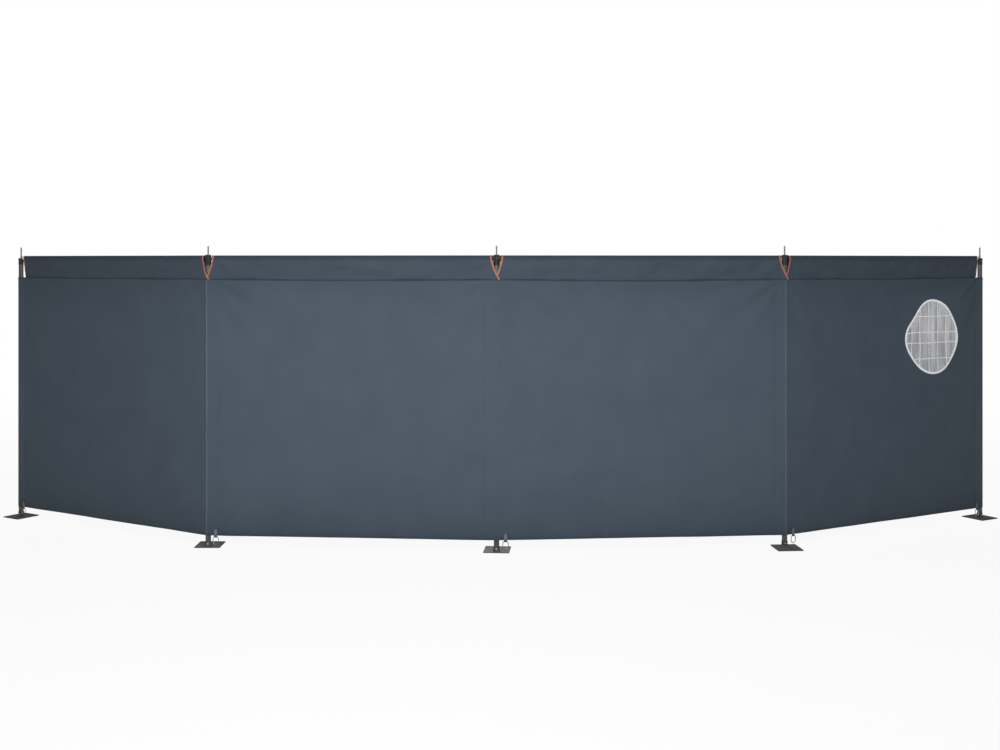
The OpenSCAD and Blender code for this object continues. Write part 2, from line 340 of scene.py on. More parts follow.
def maths(tree, operation, *values):
    """The result of a sum over values and other nodes' sockets"""
    return put(tree, "Math", {"operation": operation}, *values).outputs[0]


def ramp(tree, value, *stops):
    """Colours at places from 0 to 1, picked by a value"""
    made = put(tree, "ValToRGB", Fac=value)
    elements = made.color_ramp.elements
    while len(elements) < len(stops):
        elements.new(0.5)
    for element, (place, colour) in zip(elements, stops):
        element.position = place
        element.color = (*colour, 1)
    return made.outputs["Color"]


def mottle(tree, scale, detail=3.0, squeeze=None, turn=(0, 0, 0), source="Object"):
    """Soft noise from 0 to 1 in the piece's own space, or on its cut, squeezed along each axis"""
    where = put(tree, "TexCoord").outputs[source]
    if squeeze:
        where = put(tree, "Mapping", Vector=where, Rotation=turn, Scale=squeeze).outputs["Vector"]
    return put(tree, "TexNoise", Vector=where, Scale=scale, Detail=detail).outputs["Fac"]


def scaled(tree, colour, amount):
    """A colour times an amount"""
    return put(tree, "VectorMath", {"operation": "SCALE"}, colour, Scale=amount).outputs[0]


def vary_roughness(tree, bsdf, pattern, middle, swing):
    """Roughness that follows a pattern, over a swing about its middle"""
    feed(tree, bsdf, Roughness=maths(tree, "MULTIPLY_ADD", pattern, swing, middle - swing / 2))


def bump(tree, bsdf, *layers):
    """Stacks bumps of (height, depth in metres) on a shader"""
    under = {}
    for height, depth in layers:
        made = put(tree, "Bump", Height=height, Distance=depth, Strength=1.0, **under)
        under = {"Normal": made.outputs["Normal"]}
    feed(tree, bsdf, **under)


def weave(tree, pitch):
    """Height of a plain weave with that yarn spacing, on the piece's own cut"""
    where = put(tree, "TexCoord").outputs["UV"]
    close = pi / 10 / pitch
    bands = [put(tree, "TexWave", {"bands_direction": axis}, Vector=where, Scale=close) for axis in "XY"]
    return maths(tree, "MULTIPLY", *(b.outputs["Fac"] for b in bands))


def woven(name, dark, light, pitch, roughness=0.85, sheen=0.12, depth=0.0002, gloss=0.1, ior=1.5):
    """Woven cloth: yarns, uneven colour, and the tone of each part of the piece, which carries its painted
    light and shade
    """
    made, tree, bsdf = shader(name)
    yarns = weave(tree, pitch)
    tone = put(tree, "Attribute", {"attribute_name": "tone"}).outputs["Fac"]
    speckle = maths(tree, "MULTIPLY_ADD", mottle(tree, 700, 2.0), 0.24, 0.80)
    shade = maths(tree, "MULTIPLY_ADD", yarns, 0.16, speckle)
    streaks = mottle(tree, 1.0, 2.0, (34, 1.6, 1), source="UV")
    clouds = maths(tree, "MULTIPLY", mottle(tree, 6.0, 5.0), 0.86)
    patches = maths(tree, "MULTIPLY_ADD", streaks, 0.14, clouds)
    colour = ramp(tree, patches, (0.34, dark), (0.66, light))
    feed(tree, bsdf, Base_Color=scaled(tree, colour, maths(tree, "MULTIPLY", shade, tone)))
    vary_roughness(tree, bsdf, mottle(tree, 9), roughness, 0.16)
    feed(tree, bsdf, Sheen_Weight=sheen, Sheen_Roughness=0.45, Specular_IOR_Level=gloss, IOR=ior)
    bump(tree, bsdf, (yarns, depth), (mottle(tree, 45, 2.0), 0.0006))
    return made


def metal(name, dark, light, metallic, roughness, grain=(1, 1, 1), depth=0.00006, gloss=0.5):
    """Metal or paint over metal, with a fine grain and patches of wear"""
    made, tree, bsdf = shader(name)
    fine = mottle(tree, 420.0, 3.0, grain)
    patches = mottle(tree, 26, 5.0)
    colour = ramp(tree, patches, (0.30, dark), (0.72, light))
    shade = maths(tree, "MULTIPLY_ADD", fine, 0.30, 0.85)
    feed(tree, bsdf, Base_Color=scaled(tree, colour, shade))
    vary_roughness(tree, bsdf, patches, roughness, 0.22)
    feed(tree, bsdf, Metallic=metallic, Specular_IOR_Level=gloss)
    bump(tree, bsdf, (fine, depth))
    return made


def moulded(name, dark, light, roughness, gloss):
    """Moulded plastic with a fine spark-eroded grain"""
    made, tree, bsdf = shader(name)
    feed(tree, bsdf, Base_Color=ramp(tree, mottle(tree, 60, 4.0), (0.35, dark), (0.70, light)))
    vary_roughness(tree, bsdf, mottle(tree, 90), roughness, 0.2)
    feed(tree, bsdf, Specular_IOR_Level=gloss)
    bump(tree, bsdf, (mottle(tree, 1400, 2.0), 0.00008))
    return made


def clear_film(name):
    """Clear flexible film, a little smoky and dull in patches"""
    made, tree, bsdf = shader(name)
    haze = mottle(tree, 1.0, 4.0, (22, 22, 4), (0, 0.35, 0))
    smoke = ((0.30, (0.23, 0.235, 0.25)), (0.50, (0.34, 0.345, 0.36)), (0.72, (0.54, 0.545, 0.56)))
    feed(tree, bsdf, Base_Color=ramp(tree, haze, *smoke))
    vary_roughness(tree, bsdf, haze, 0.10, 0.16)
    feed(tree, bsdf, Transmission_Weight=0.9, IOR=1.25)
    bump(tree, bsdf, (mottle(tree, 22, 2.0), 0.0008))
    return made


# Materials
CLOTH = woven("cloth", (0.064, 0.087, 0.115), (0.071, 0.096, 0.123), 0.0012, gloss=0.04)
PIPING = woven("piping", (0.32, 0.115, 0.082), (0.41, 0.170, 0.125), 0.0009, 0.7)
WEBBING = woven("webbing", (0.125, 0.138, 0.170), (0.180, 0.194, 0.226), 0.0016, 0.75, 0.08, 0.0004)
BINDING = woven("binding", (0.92, 0.935, 0.975), (0.955, 0.97, 0.99), 0.0008, 0.4, 0.4, gloss=0.9, ior=2.0)
SCRIM = woven("scrim", (0.93, 0.935, 0.96), (0.965, 0.97, 0.985), 0.0006, 0.4, 0.3, gloss=0.9, ior=2.0)
DARK_THREAD = woven("dark_thread", (0.012, 0.016, 0.026), (0.022, 0.028, 0.040), 0.0004, 0.6, 0.1, 0.0001)
PALE_THREAD = woven("pale_thread", (0.14, 0.165, 0.20), (0.19, 0.215, 0.25), 0.0004, 0.6, 0.1, 0.0001)
POLE_STEEL = metal("pole_steel", (0.048, 0.050, 0.051), (0.086, 0.088, 0.089), 0.4, 0.48,
                   (1, 1, 0.04), gloss=0.25)
PIN_STEEL = metal("pin_steel", (0.15, 0.15, 0.152), (0.22, 0.22, 0.222), 0.1, 0.50,
                  (1, 1, 0.05), 0.00002, 0.15)
RAIL_METAL = metal("rail_metal", (0.60, 0.61, 0.62), (0.72, 0.73, 0.74), 1.0, 0.30, (0.1, 0.1, 1))
FOOT_STEEL = metal("foot_steel", (0.058, 0.059, 0.056), (0.100, 0.100, 0.094), 0.0, 0.70,
                   depth=0.0001, gloss=0.02)
BOLT_STEEL = metal("bolt_steel", (0.26, 0.26, 0.26), (0.36, 0.36, 0.36), 1.0, 0.40)
RING_WIRE = metal("ring_wire", (0.12, 0.12, 0.105), (0.21, 0.21, 0.185), 1.0, 0.36)
BLACK_PLASTIC = moulded("black_plastic", (0.004, 0.004, 0.0045), (0.010, 0.010, 0.011), 0.52, 0.25)
FILM = clear_film("clear_film")


# The lie of the cloth
def at_end_pole(k, side):
    """Whether that end of bay k, left 1 or right -1, is at an end pole"""
    return (k, side) in ((1, 1), (4, -1))


def notch_edge(side, z):
    """From an inner pole's axis to the notch's edge at height z. The tips reach past the axis"""
    down = min(1.0, max(0.0, (TOP - z) / POCKET_H))
    return NOTCH_HALF - (NOTCH_HALF + NOTCH_PAST[side]) * down ** NOTCH_CURVE


def slot_edge(k, z):
    """From an end pole's axis to the end of the pocket at height z"""
    high, low = END_SLOT[k]
    return high + (low - high) * (TOP - z) / POCKET_H


def sheet_edge(k, side, kind, z, share=0.0):
    """From a pole's axis to the end of the bay's own sheet"""
    if kind == "sheet":
        return SLEEVE_SEAM if at_end_pole(k, side) else EDGE
    if at_end_pole(k, side):
        return slot_edge(k, z)
    front = max(EDGE, notch_edge(side, z))
    if kind == "over":
        return front + (BACK_EDGE - front) * smooth(share)
    return front if kind == "front" else BACK_EDGE


def ripple(x, z, seed):
    """Smooth noise about 0, with a pattern of its own for each seed"""
    return noise.noise(Vector((x, z, 7.3 * seed)))


def wave(kind, x, z, seed):
    """One of the sheet's waves"""
    depth, along, up = WAVE[kind]
    return depth * ripple(along * x, up * z, seed)


def slack(k, x, z):
    """How far the sheet of bay k lies behind its plane, which it meets at its ends"""
    near = min(x, BAY_W - x)
    under_seam = STITCH - z
    corner = hypot(near - 0.01, 0.8 * under_seam)
    rays = sin(DRAWN_RAYS * atan2(near, under_seam + 0.02) + k)
    drawn = DRAWN * exp(-corner / DRAWN_REACH) * rays
    loose = wave("broad", x, z, k) + wave("middle", x, z, k + 9) + wave("fine", x, z, k + 20) + drawn
    puckers = exp(-abs(under_seam) / PUCKER_REACH) * wave("puckers", x, z, k + 31)
    pulls = exp(-near / PULL_REACH) * wave("pulls", x, z, k + 43)
    return smooth((near - EDGE) / 0.10) * loose + smooth((near - EDGE) / 0.012) * (puckers + pulls)


def groove(x, z):
    """How far the seam under the pocket draws the cloth in"""
    near = min(x, BAY_W - x)
    uneven = 0.5 + ripple(6 * x, 0.0, 101) + 0.6 * ripple(17 * x, 0.0, 102)
    deep = GROOVE * smooth((near - EDGE) / 0.025) * (0.7 + 1.2 * max(0.0, uneven))
    return deep * exp(-((z - STITCH) / (GROOVE_W * (0.8 + max(0.0, uneven)))) ** 2)


def sag(k, x, z):
    """How far a point of bay k's cloth hangs below its place in the flat cut"""
    along = min(1.0, max(0.0, (x - EDGE) / (BAY_W - 2 * EDGE)))
    hang = sin(pi * along)
    felt = (RAIL_Z - z) / (RAIL_Z - STITCH) if z > STITCH else 1 - (STITCH - z) / SAG_REACH
    return hang * smooth(felt) * (SEAM_SAG[k] + 0.003 * ripple(5 * x, 0.0, k + 120))


def pocket_slack(k, x, share, seed):
    """How far the front or back of the pocket stands out, at a share of its height"""
    lift = sin(pi * min(1.0, share))
    folds = POCKET_WAVE["folds"] * ripple(5.5 * x + 1.4 * share, 1.2 * share - 2.0 * x, k + seed)
    small = POCKET_WAVE["small"] * ripple(14 * x - 1.8 * share, 1.5 * share, k + seed + 5)
    near = min(x, BAY_W - x)
    drawn = POCKET_WAVE["drawn"] * exp(-near / 0.20) * sin(58 * near + 5 * share + k + seed)
    return lift * smooth((near - EDGE) / 0.05) * (POCKET_WAVE["crown"] + folds + small + drawn)


def cloth_y(k, x, z):
    """Where the middle of the sheet of bay k lies, below its pocket"""
    return FRONT + slack(k, x, z) + groove(x, z)


def cloth_profile():
    """A bay's cloth as (kind, y, z, share): from the turned hem over the rail and down the back"""
    profile = [("sheet", FRONT + 2 * HEM_FOLD, z, 0) for z in spread(HEM + HEM_TURN, HEM + HEM_FOLD, 0.01)]
    for a in (radians(-45 * j) for j in range(1, 4)):
        profile.append(("sheet", FRONT + HEM_FOLD * (1 + cos(a)), HEM + HEM_FOLD * (1 + sin(a)), 0))
    for z in spread(HEM + HEM_FOLD, STITCH - 0.02, 0.014) + spread(STITCH - 0.0175, STITCH, 0.0025):
        profile.append(("sheet", FRONT, z, 0))
    rise = RAIL_Z - STITCH
    for share in [0.02, 0.045, 0.07, 0.1, 0.14, 0.18] + spread(0.24, 1.0, 0.07):
        profile.append(("front", FRONT + (-POCKET_R - FRONT) * share, STITCH + rise * share, share))
    start, end = 168, -12
    for d in spread(start, end, 12):
        share = (start - d) / (start - end)
        a = radians(d)
        profile.append(("over", POCKET_R * cos(a), RAIL_Z + POCKET_R * sin(a), share))
    leave_y, leave_z = profile[-1][1:3]
    for share in spread(0.93, 0.0, 0.08):
        profile.append(("back", FRONT + LAYER + (leave_y - FRONT - LAYER) * share,
                        STITCH + (leave_z - STITCH) * share, share))
    for down in spread(0.003, SEAM_TURN, 0.003):
        profile.append(("sheet", FRONT + LAYER, STITCH - down, 0))
    return profile


def cloth_point(k, x, kind, y, z, share):
    """The place of a point of bay k's cloth, waves and sag included"""
    if kind == "sheet":
        y += slack(k, x, z) + groove(x, z)
    elif kind == "front":
        y += groove(x, z) - pocket_slack(k, x, share, 60)
    elif kind == "back":
        y += pocket_slack(k, x, share, 80) + groove(x, z)
    return in_bay(k, x, y, z - sag(k, x, z))


def pucker(a):
    """How far the sewing draws the window's edge out of its clean outline"""
    return 0.0014 * cos(5 * a - 2.97) + 0.0018 * cos(6 * a + 0.46) - 0.0010


def window_radius(a):
    """Distance from the window's middle to its outline, at that turn"""
    waves = [size * cos(count * (a - radians(start))) for count, size, start in WINDOW_WAVES]
    return WINDOW_R + sum(waves) + pucker(a)


PROFILE = cloth_profile()
COLUMNS = 112
# Spacing of the window bay's columns, and the room from the window's middle for its own faces
COLUMN_STEP = (BAY_W - SLEEVE_SEAM - EDGE) / COLUMNS
WINDOW_ROOM = 0.232
# Painted shade on the cloth: the doubled pocket, its top and the hem are painted darker, the seam darkest
# as a painted shadow, and half the seam's width
BAND_PAINTED_SHADE = 0.74
TOP_PAINTED_SHADE = 0.70
HEM_PAINTED_SHADE = 0.88
SEAM_PAINTED_SHADOW = 0.55
SEAM_HALF = 0.0026
# How much painted shade darkens the sheet at its foot and head, and how far from them
FOOT_PAINTED_SHADE, FOOT_REACH = 0.28, 0.13
HEAD_PAINTED_SHADE, HEAD_REACH = 0.18, 0.16


def tone_at(kind, z):
    """Tone of the cloth, all painted shade: darker where it is doubled, at the pocket's top and towards
    the sheet's foot and head, and darkest in the seam's painted shadow
    """
    if abs(z - STITCH) < SEAM_HALF:
        # The seam's line is painted dark, a painted shadow in its crease
        return SEAM_PAINTED_SHADOW
    if kind != "sheet":
        # Painted shade: the pocket is darker, and darker still at its top
        return BAND_PAINTED_SHADE * (1 - (1 - TOP_PAINTED_SHADE) * smooth((z - RAIL_Z + 0.020) / 0.024))
    # Painted shade: the sheet is darker towards its foot and head
    painted_end_shade = 1 - FOOT_PAINTED_SHADE * exp((HEM - z) / FOOT_REACH) - HEAD_PAINTED_SHADE * exp((z - STITCH) / HEAD_REACH)
    # Painted shade: the doubled hem is a little darker
    return painted_end_shade * (HEM_PAINTED_SHADE if z < HEM + HEM_TURN else 1.0)


def cut_length():
    """Distance up the flat cut to each point of the profile"""
    lengths = [0.0]
    for (_, y0, z0, _), (_, y1, z1, _) in zip(PROFILE, PROFILE[1:]):
        lengths.append(lengths[-1] + hypot(y1 - y0, z1 - z0))
    return lengths


def make_cloth(k):
    """The cloth of one bay, from the turned hem to the seam behind the rail pocket"""
    shape = Shape()
    lengths = cut_length()
    rows, uvs, tones = [], [], []
    area = 0.0
    for j, (kind, y, z, share) in enumerate(PROFILE):
        start = sheet_edge(k, 1, kind, z, share)
        end = BAY_W - sheet_edge(k, -1, kind, z, share)
        xs = spread(start, end, (end - start) / COLUMNS)
        rows.append([cloth_point(k, x, kind, y, z, share) for x in xs])
        uvs.append([(x, lengths[j]) for x in xs])
        tones.append([tone_at(kind, z)] * len(xs))
        area += (end - start) * (lengths[j] - lengths[j - 1]) if j else 0.0
    low, high, left, right = window_block() if k == WINDOW_BAY else (0, 0, 0, 0)
    shape.grid(rows, uvs, tones, lambda r, c: not (low <= r < high and left <= c < right))
    if k == WINDOW_BAY:
        area -= round_the_window(shape, low, high, left, right)
    made = thicken(shape.build(f"cloth_{k}", CLOTH, closed=False), CLOTH_T)
    stand_for(made, BODY[k], f"panel_{k}")
    return made, (BAY_W - 2 * EDGE, lengths[-1]), area


def window_block():
    """Rows and columns of the grid that give way to the window's own faces"""
    front = [(j, z) for j, (kind, y, z, _) in enumerate(PROFILE) if kind == "sheet" and y == FRONT]
    low = max(j for j, z in front if z < WINDOW.z - WINDOW_ROOM)
    high = min(j for j, z in front if z > WINDOW.z + WINDOW_ROOM)
    left = int((WINDOW.x - WINDOW_ROOM - EDGE) / COLUMN_STEP)
    right = int((WINDOW.x + WINDOW_ROOM - EDGE) / COLUMN_STEP) + 1
    return low, high, left, right


def at_window(a, reach):
    """The x and z of a point at that turn and distance from the window's middle"""
    return WINDOW.x + reach * cos(a), WINDOW.z + reach * sin(a)


def round_the_window(shape, low, high, left, right):
    """Fills the block with faces that run out from the window's outline. Returns the window's area"""
    width = COLUMNS + 1
    loop = [(low, c) for c in range(left, right)] + [(r, right) for r in range(low, high)]
    loop += [(high, c) for c in range(right, left, -1)] + [(r, left) for r in range(high, low, -1)]
    rings = []
    for share in (0.0, 0.06, 0.14, 0.26, 0.42, 0.60, 0.80):
        ring, ring_uvs = [], []
        for r, c in loop:
            x, z = EDGE + c * COLUMN_STEP, PROFILE[r][2]
            a = atan2(z - WINDOW.z, x - WINDOW.x)
            rim_x, rim_z = at_window(a, window_radius(a))
            px, pz = rim_x + (x - rim_x) * share, rim_z + (z - rim_z) * share
            ring.append(in_bay(WINDOW_BAY, px, cloth_y(WINDOW_BAY, px, pz), pz))
            ring_uvs.append((px, pz))
        first = shape.add(ring, ring_uvs)
        rings.append([first + j for j in range(len(ring))])
    rings.append([r * width + c for r, c in loop])
    count = len(loop)
    for inner, outer in zip(rings, rings[1:]):
        for j in range(count):
            n = (j + 1) % count
            shape.faces.append((inner[j], outer[j], outer[n], inner[n]))
    return pi * WINDOW_R ** 2


# The cloth that crosses the inner poles
def half_wrap(i):
    """Half the cloth that lies round the front of inner pole i"""
    return COVER_R * (TURN[i] - TURN[i - 1]) / 2


def outward(i, s):
    """Turn of the cloth at a distance s from the middle of pole i, and how far that is past the wrap"""
    wrap = half_wrap(i)
    if s < -wrap:
        return TURN[i - 1], s + wrap
    if s > wrap:
        return TURN[i], s - wrap
    return (TURN[i - 1] + TURN[i]) / 2 + s / COVER_R, 0.0


def over_pole(i, s, z, out=0.0):
    """A point on the cloth in front of pole i, s along the cloth, and out in front of it"""
    turn, x = outward(i, s)
    radius = COVER_R + out
    return POLE[i] + Vector((x * cos(turn) + radius * sin(turn),
                             x * sin(turn) - radius * cos(turn), z))


def normal_over_pole(i, s):
    """The way that the cloth in front of pole i faces"""
    turn, _ = outward(i, s)
    return Vector((sin(turn), -cos(turn), 0))


def flap_lean(z):
    """How far the front of the pocket leans back at height z"""
    return (COVER_R - POCKET_R) * max(0.0, (z - STITCH) / (RAIL_Z - STITCH))


def blend_over_pole(piece):
    """Bakes a piece's placement into its points"""
    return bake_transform(piece)


# The welt of the seam on each inner pole, with a painted highlight along it that is strongest on poles 2
# and 4, and how far the tips of the notch stand out
WELT_HALF = 0.0022
WELT_RISE = 0.0013
WELT_PAINTED_HIGHLIGHT = {2: 1.75, 3: 1.08, 4: 1.65}
FLAP_RISE = {-1: 0.0046, 1: 0.0010}
FLAP_COLUMNS = 12


def flap_rise(side, z):
    """How far a tip of the notch stands out at height z. The left one lies over the right one"""
    return FLAP_RISE[side] * smooth((STITCH + 0.075 - z) / 0.04)


def make_cover(i):
    """The cloth that crosses inner pole i, with the welt of its seam and the two tips of its notch"""
    shape = Shape()
    reach = half_wrap(i) + EDGE
    places = spread(-reach, -0.006, 0.003) + [-0.0035, -WELT_HALF, -0.0011, 0.0, 0.0011, WELT_HALF, 0.0035]
    places += spread(0.006, reach, 0.003)
    rows, uvs, tones = [], [], []
    for z in spread(HEM, STITCH - 0.004, 0.012) + [STITCH - 0.99 * SEAM_HALF, STITCH]:
        wave = 0.0004 * ripple(0.0, 9 * z, i + 70)
        rise = [WELT_RISE * smooth(1 - abs(s - wave) / (2 * WELT_HALF)) for s in places]
        rows.append([over_pole(i, s, z, up) for s, up in zip(places, rise)])
        uvs.append([(s, z) for s in places])
        # The welt is painted lighter than the cloth: a painted highlight
        tones.append([tone_at("sheet", z) * (1 + (WELT_PAINTED_HIGHLIGHT[i] - 1) * up / WELT_RISE) for up in rise])
    shape.grid(rows, uvs, tones)
    for side in (-1, 1):
        rows, uvs, tones = [], [], []
        share = ((NOTCH_HALF - EDGE) / (NOTCH_HALF + NOTCH_PAST[side])) ** (1 / NOTCH_CURVE)
        heights = [STITCH, STITCH + 0.99 * SEAM_HALF]
        for z in heights + spread(STITCH + 0.004, TOP - POCKET_H * share, 0.004):
            end = half_wrap(i) + notch_edge(side, z)
            shares = spread(0, 1, 1 / FLAP_COLUMNS)[::-side]
            line = [(side * (reach + (end - reach) * t), flap_rise(side, z) * t) for t in shares]
            rows.append([over_pole(i, s, z, up - flap_lean(z)) for s, up in line])
            uvs.append([(s, z) for s, _ in line])
            tones.append([tone_at("front", z)] * len(line))
        shape.grid(rows, uvs, tones)
    made = thicken(shape.build(f"pole_cover_{i}", CLOTH, closed=False), CLOTH_T)
    blend_over_pole(made)
    return made, 2 * reach


def sleeve_path(at_end):
    """A sleeve's section as (x, y, loose), round the pole from its front to its flange"""
    radius = COVER_R if at_end else POLE_R + CLOTH_T * 0.6
    path = [(x, -radius, 0) for x in spread(SLEEVE_SEAM, 0.003, 0.004)] if at_end else []
    for a in (radians(d) for d in spread(-90, -282, 8)):
        path.append((radius * cos(a), radius * sin(a), smooth((-a - 2.2) / 1.2)))
    x0, y0, _ = path[-1]
    x1, y1 = SLEEVE_SEAM, FRONT + LAYER
    path += [(x0 + (x1 - x0) * t, y0 + (y1 - y0) * t, 1 - t) for t in spread(0.1, 1.0, 0.1)]
    path += [(x, y1, 0) for x in spread(SLEEVE_SEAM + 0.003, SLEEVE_SEAM + 0.010, 0.0035)]
    return path


# The bay that carries each pole, and the end of it: left is 1 and right -1
SLEEVES = {1: (1, 1), 2: (2, 1), 3: (2, -1), 4: (3, -1), 5: (4, -1)}
# Painted light on the sleeves: the end sleeves are painted lighter as a highlight on their rounded fronts,
# the inner ones a little darker as painted shade
END_SLEEVE_PAINTED_HIGHLIGHT = 1.10
INNER_SLEEVE_PAINTED_SHADE = 0.96
# How far the loose back of a sleeve waves, and how far the top of an end sleeve flares
SLEEVE_WAVE = 0.0016
SLEEVE_FLARE = 0.0012


def make_sleeve(i):
    """The cloth sewn round pole i, on the bay that carries the pole"""
    k, side = SLEEVES[i]
    at_end = i not in INNER_POLES
    path = sleeve_path(at_end)
    shape = Shape()
    rows, uvs, tones = [], [], []
    for z in spread(HEM, STITCH, 0.012):
        flare = SLEEVE_FLARE * exp((z - STITCH) / 0.012) if at_end else 0.0
        row = []
        for j, (x, y, loose) in enumerate(path):
            out = loose * SLEEVE_WAVE * abs(ripple(6 * j / len(path), 6 * z, i + 50))
            grow = 1 + (out + (flare if x < 0.012 else 0.0)) / hypot(x, y)
            row.append(in_bay(k, from_end(side, x * grow), y * grow, z))
        rows.append(row[::side])
        uvs.append([(0.004 * j, z) for j in range(len(path))][::side])
        # The sleeve's painted highlight or painted shade
        tone = END_SLEEVE_PAINTED_HIGHLIGHT if at_end else INNER_SLEEVE_PAINTED_SHADE
        tones.append([tone_at("sheet", z) * tone] * len(path))
    shape.grid(rows, uvs, tones)
    made = thicken(shape.build(f"sleeve_{i}", CLOTH, closed=False), CLOTH_T)
    stand_for(made, BODY[k], f"pole_sleeve_{i}")
    length = sum(hypot(b[0] - a[0], b[1] - a[1]) for a, b in zip(path, path[1:]))
    return made, length


# Piping on the ends of the pockets
PIPING_W = 0.0085
PIPING_T = 0.0030


def pocket_rim(k, side):
    """Points and normals over the rail and down the back, along the end of a pocket"""
    path = []
    for kind, y, z, share in PROFILE:
        if kind not in ("over", "back") or z < STITCH + 0.006:
            continue
        x = sheet_edge(k, side, kind, z, share)
        normal = (BACK[k] * y + UP * (z - RAIL_Z)).normalized() if kind == "over" else BACK[k]
        path.append((in_bay(k, from_end(side, x), y, z), normal))
    return path


def make_notch_piping(i):
    """Both sides of the notch over inner pole i"""
    shape = Shape()
    for side in (-1, 1):
        path = []
        for z in spread(STITCH - 0.002 if side < 0 else STITCH + 0.016, RAIL_Z - 0.004, 0.006):
            s = side * (half_wrap(i) + notch_edge(side, z))
            out = flap_rise(side, z) - flap_lean(z)
            path.append((over_pole(i, s, z, out), normal_over_pole(i, s)))
        path += pocket_rim(i if side > 0 else i - 1, side)
        tape(shape, path, PIPING_W, PIPING_T)
    return blend_over_pole(shape.build(f"notch_piping_{i}", PIPING))


def make_end_piping(i):
    """The end of the pocket beside end pole i"""
    k, side = SLEEVES[i]
    shape = Shape()
    path = []
    for z in spread(STITCH + 0.002, RAIL_Z - 0.004, 0.008):
        x = slot_edge(k, z)
        y = FRONT + (-POCKET_R - FRONT) * (z - STITCH) / (RAIL_Z - STITCH)
        path.append((in_bay(k, from_end(side, x), y, z), -BACK[k]))
    path += pocket_rim(k, side)
    tape(shape, path, PIPING_W * 0.8, PIPING_T)
    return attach(shape.build(f"end_piping_{i}", PIPING), BODY[k])


# Sewing
STITCH_PITCH = 0.0052
# From a row of stitches to the ends of its seam, and from the hem's row to the edge of its turn
ROW_INSET = 0.003
HEM_INSET = 0.004
# Between the two rows of the pocket's seam, and how far the sleeves' rows stand proud
ROW_APART = 0.0028
ROW_PROUD = 0.0004
# Rows up a sleeve's seam and either side of an inner pole's seam, and their distance from the hem
SLEEVE_ROWS = (0.0025, 0.0075)
COVER_ROWS = (-0.0065, 0.0065)
ROW_START = 0.006
# Length and width of a stitch in the thicker thread of the pocket's seam and the hem
THICK_STITCH = (0.0046, 0.0014)


def sew(shape, point, tangent, normal, length=0.0036, width=0.0009):
    """One stitch: a short thread that dips into the cloth at both ends"""
    side = tangent.cross(normal).normalized() * width / 2
    lift = normal * width / 2
    ends = [point - tangent * length / 2 - lift, point + tangent * length / 2 - lift]
    first = shape.add([ends[0], point + lift, point + side, point - lift, point - side, ends[1]])
    for a, b in ((1, 2), (2, 3), (3, 4), (4, 1)):
        shape.faces.append((first, first + a, first + b))
        shape.faces.append((first + 5, first + b, first + a))


def sew_along(shape, k, z):
    """A row of stitches along bay k at height z"""
    start = sheet_edge(k, 1, "sheet", z) + ROW_INSET
    end = BAY_W - sheet_edge(k, -1, "sheet", z) - ROW_INSET
    for x in spread(start, end, STITCH_PITCH):
        place = in_bay(k, x, cloth_y(k, x, z) - CLOTH_T / 2, z - sag(k, x, z))
        sew(shape, place, ALONG[k], -BACK[k], *THICK_STITCH)


def sew_over_pole(shape, i, z):
    """A row of stitches across the front of inner pole i at height z"""
    reach = half_wrap(i) + EDGE
    for s in spread(ROW_INSET - reach, reach - ROW_INSET, STITCH_PITCH):
        across = normal_over_pole(i, s)
        sew(shape, over_pole(i, s, z, CLOTH_T / 2), UP.cross(across), across, *THICK_STITCH)


def make_hem_stitches(k):
    """The pale thread along the hem of bay k"""
    shape = Shape()
    sew_along(shape, k, HEM + HEM_TURN - HEM_INSET)
    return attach(shape.build(f"hem_stitches_{k}", PALE_THREAD), BODY[k])


def make_stitches(k):
    """Rows of thread along the pocket's seam of bay k, and up its sleeve seams"""
    shape = Shape()
    for z in (STITCH - ROW_APART / 2, STITCH + ROW_APART / 2):
        sew_along(shape, k, z)
    for bay, side in SLEEVES.values():
        if bay == k:
            for gap in SLEEVE_ROWS:
                x = from_end(side, SLEEVE_SEAM + gap)
                for z in spread(HEM + ROW_START, STITCH - 2 * ROW_START, STITCH_PITCH):
                    y = cloth_y(k, x, z)
                    sew(shape, in_bay(k, x, y - CLOTH_T / 2 - ROW_PROUD, z), UP, -BACK[k])
                    sew(shape, in_bay(k, x, y + LAYER + CLOTH_T / 2 + ROW_PROUD, z), UP, BACK[k])
    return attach(shape.build(f"stitches_{k}", DARK_THREAD), BODY[k])


def make_seam_stitches(i):
    """Thread down the seam on the front of inner pole i, and along the foot of its notch"""
    shape = Shape()
    for s in COVER_ROWS:
        for z in spread(HEM + ROW_START, STITCH - ROW_START, STITCH_PITCH):
            sew(shape, over_pole(i, s, z, CLOTH_T / 2), UP, normal_over_pole(i, s))
    sew_over_pole(shape, i, STITCH - ROW_APART / 2)
    return blend_over_pole(shape.build(f"seam_stitches_{i}", DARK_THREAD))


def make_cover_hem(i):
    """The pale thread along the hem in front of inner pole i"""
    shape = Shape()
    sew_over_pole(shape, i, HEM + HEM_TURN - HEM_INSET)
    return blend_over_pole(shape.build(f"cover_hem_stitches_{i}", PALE_THREAD))


# Window
FILM_T = 0.0005
FILM_Y = 0.0016
SCRIM_ROWS = (-0.115, -0.029, 0.027, 0.114)
SCRIM_COLUMNS = [0.068 * j - 0.024 for j in range(-2, 4)]
SCRIM_REACH = 0.21
SCRIM_W = 0.0052
SCRIM_T = 0.0008
BINDING_ROW = 0.0038
WINDOW_TURNS = turns(144)


def film_y(x, z):
    """Where the slack film lies behind its cloth"""
    across = hypot(x - WINDOW.x, z - WINDOW.z) / WINDOW_R
    free = smooth((1.0 - across) / 0.25)
    creases = 0.0045 * ripple(13 * x + 5 * z, 4.5 * z, 91) + 0.0018 * ripple(34 * x, 12 * z, 92)
    return cloth_y(WINDOW_BAY, x, z) + FILM_Y + free * (0.003 + creases)


